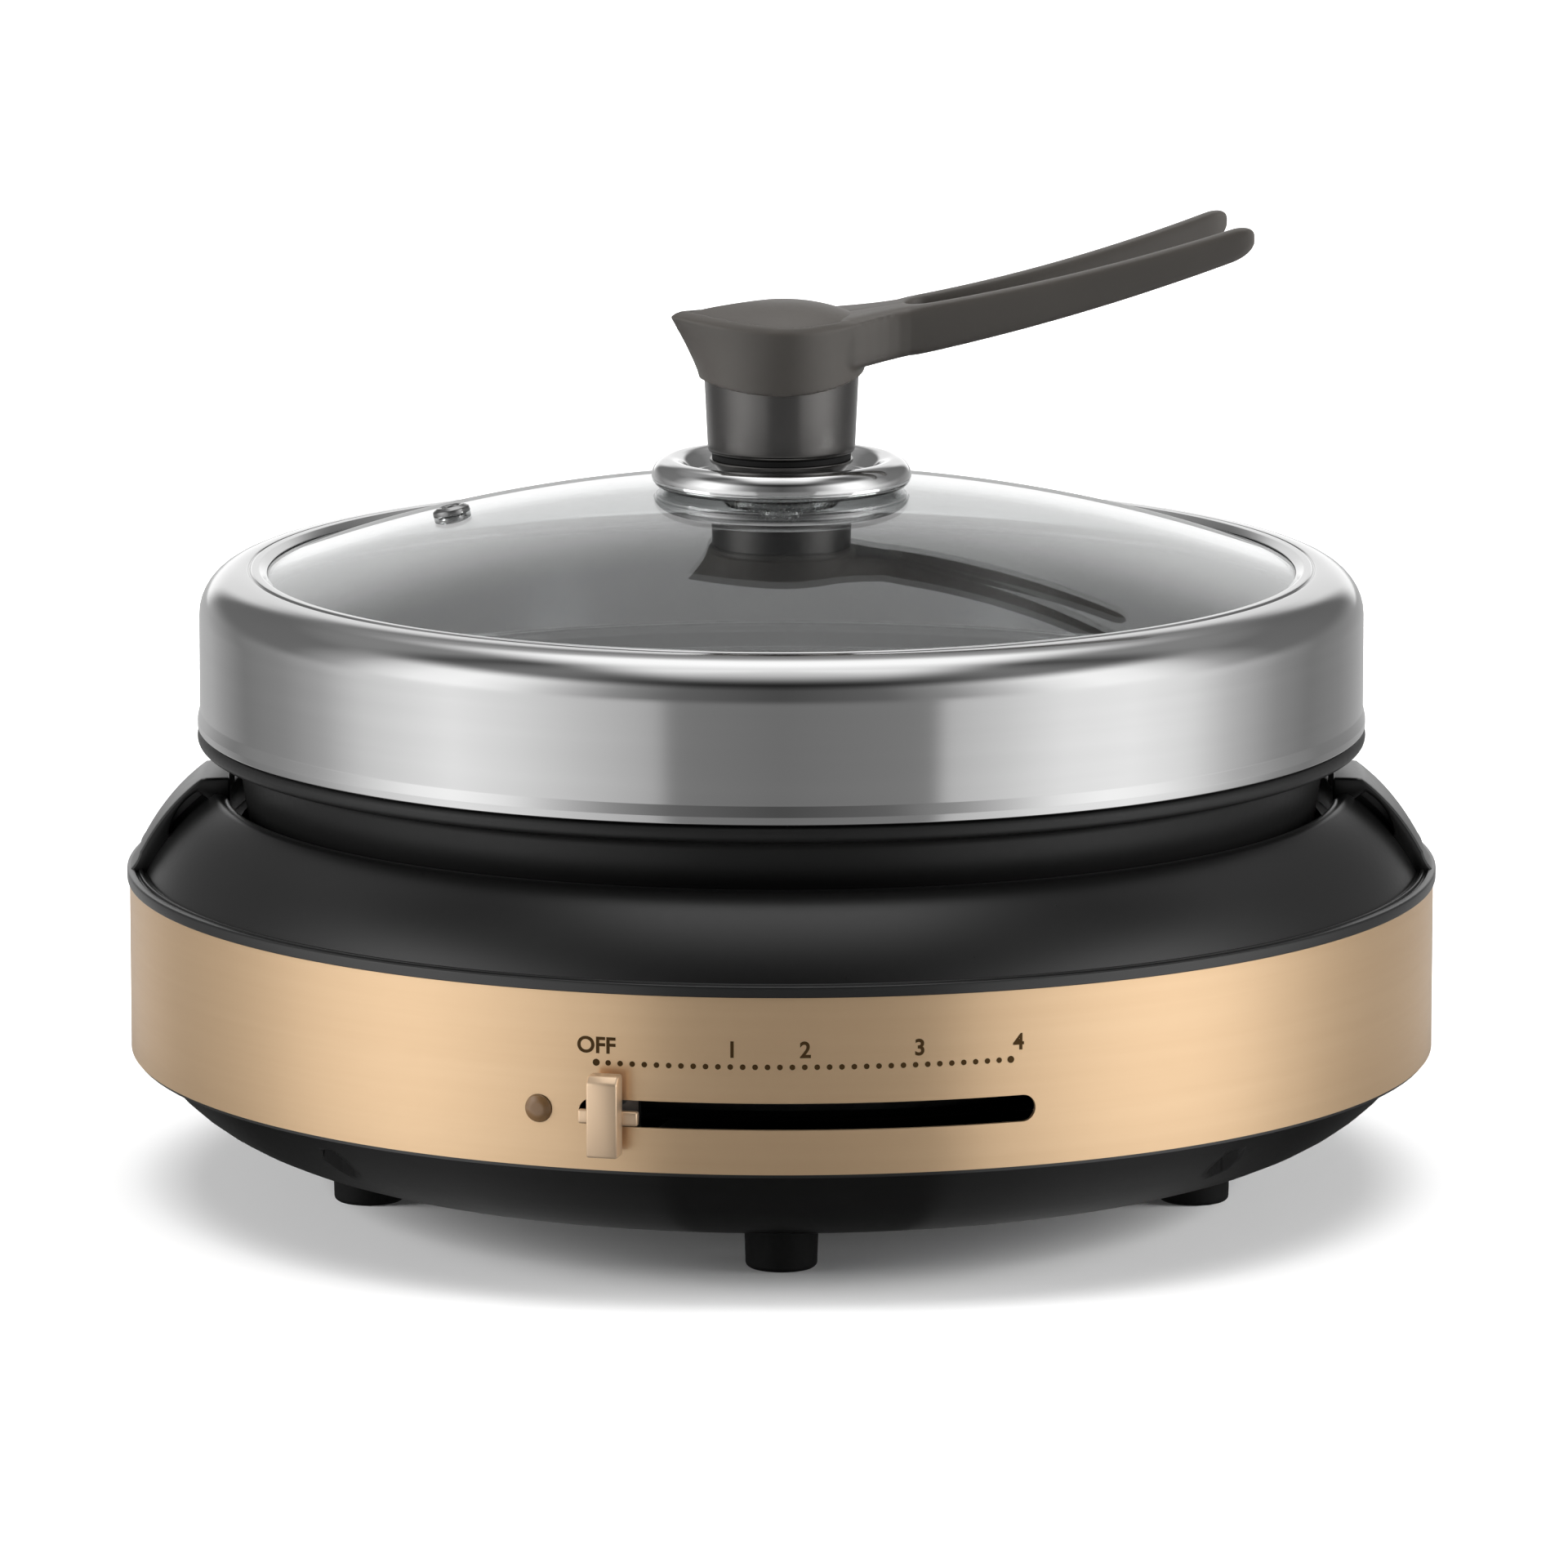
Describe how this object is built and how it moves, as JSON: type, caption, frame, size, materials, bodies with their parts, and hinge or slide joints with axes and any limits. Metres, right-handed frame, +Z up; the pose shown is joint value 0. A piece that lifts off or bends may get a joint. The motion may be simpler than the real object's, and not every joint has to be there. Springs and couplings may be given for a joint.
{
  "type": "multicooker",
  "caption": "Round electric multicooker: gold-banded heating base with a heat lever and strap ears, lift-out pan, and a glass lid with a forked handle.",
  "frame": {"origin": "on the table, under the middle of the round base", "axes": "+Z up, -Y the front with the heat lever, +X to the right of someone facing the front"},
  "size_m": [0.3614, 0.3664, 0.2639],
  "materials": {
    "black_plastic": "satin moulded black plastic",
    "gold_metal": "satin gold-toned metal with fine grain round the band",
    "gold_plastic": "gold-lacquered plastic",
    "black_rubber": "matte black rubber",
    "inner_steel": "plain aluminised sheet",
    "cast_aluminium": "sand-cast, machined on top",
    "turned_steel": "bright turned steel",
    "element_sheath": "dull dark sheath",
    "brass": "bare brass",
    "pale_ceramic": "pale heat-proof moulding",
    "amber_lens": "clear amber plastic",
    "lead_sheath": "soft lead sheaths",
    "nonstick": "black non-stick coat on cast aluminium",
    "lid_steel": "steel brushed round the rim",
    "lid_glass": "clear toughened glass",
    "chrome": "bright plate",
    "gunmetal": "glossy gunmetal lacquer",
    "handle_plastic": "warm dark grey soft-touch plastic"
  },
  "bodies": {
    "base": {"base_tray": "black_plastic", "side_band": "gold_metal", "top_guard": "black_plastic", "foot_1": "black_rubber", "foot_2": "black_rubber", "foot_3": "black_rubber", "foot_4": "black_rubber", "foot_5": "black_rubber", "heat_shield": "inner_steel", "shield_floor": "inner_steel", "heater_plate": "cast_aluminium", "heating_element": "element_sheath", "element_terminals": "brass", "heater_post_1": "turned_steel", "heater_post_2": "turned_steel", "heater_post_3": "turned_steel", "thermostat_bracket": "inner_steel", "bracket_screws": "turned_steel", "thermostat_body": "pale_ceramic", "thermal_fuse": "pale_ceramic", "indicator_lamp": "pale_ceramic", "lamp_lens": "amber_lens", "power_inlet": "black_plastic", "inlet_pins": "brass", "inlet_screws": "turned_steel", "terminal_block": "pale_ceramic", "mains_leads": "lead_sheath", "heater_leads": "lead_sheath", "lamp_leads": "lead_sheath", "base_screws": "turned_steel"},
    "lever": {"thermostat_spindle": "turned_steel", "lever_arm": "inner_steel", "lever_screw": "turned_steel", "lever_knob": "gold_plastic"},
    "pan": {"cooking_pan": "nonstick", "pan_floor": "nonstick", "pan_rim": "nonstick"},
    "lid": {"lid_rim": "lid_steel", "lid_shoulder": "lid_steel", "lid_glass": "lid_glass", "glass_gasket": "black_rubber", "vent_eyelet": "lid_steel", "knob_washer": "turned_steel", "knob_screw": "turned_steel", "knob_seal": "black_rubber", "knob_disc": "chrome", "stem_gasket": "black_rubber", "knob_stem": "gunmetal", "handle": "handle_plastic", "handle_screw": "turned_steel", "handle_cap": "handle_plastic"}
  },
  "joints": [
    {"name": "heat_lever", "type": "hinge", "parent": "base", "child": "lever", "pos_m": [0, 0, 0.05], "axis": [0, 0, 1], "range_deg": [0, 34]},
    {"name": "pan_lift", "type": "slide", "parent": "base", "child": "pan", "axis": [0, 0, 1], "range_m": [0, 0.1]},
    {"name": "lid_lift", "type": "slide", "parent": "pan", "child": "lid", "axis": [0, 0, 1], "range_m": [0, 0.15]}
  ]
}
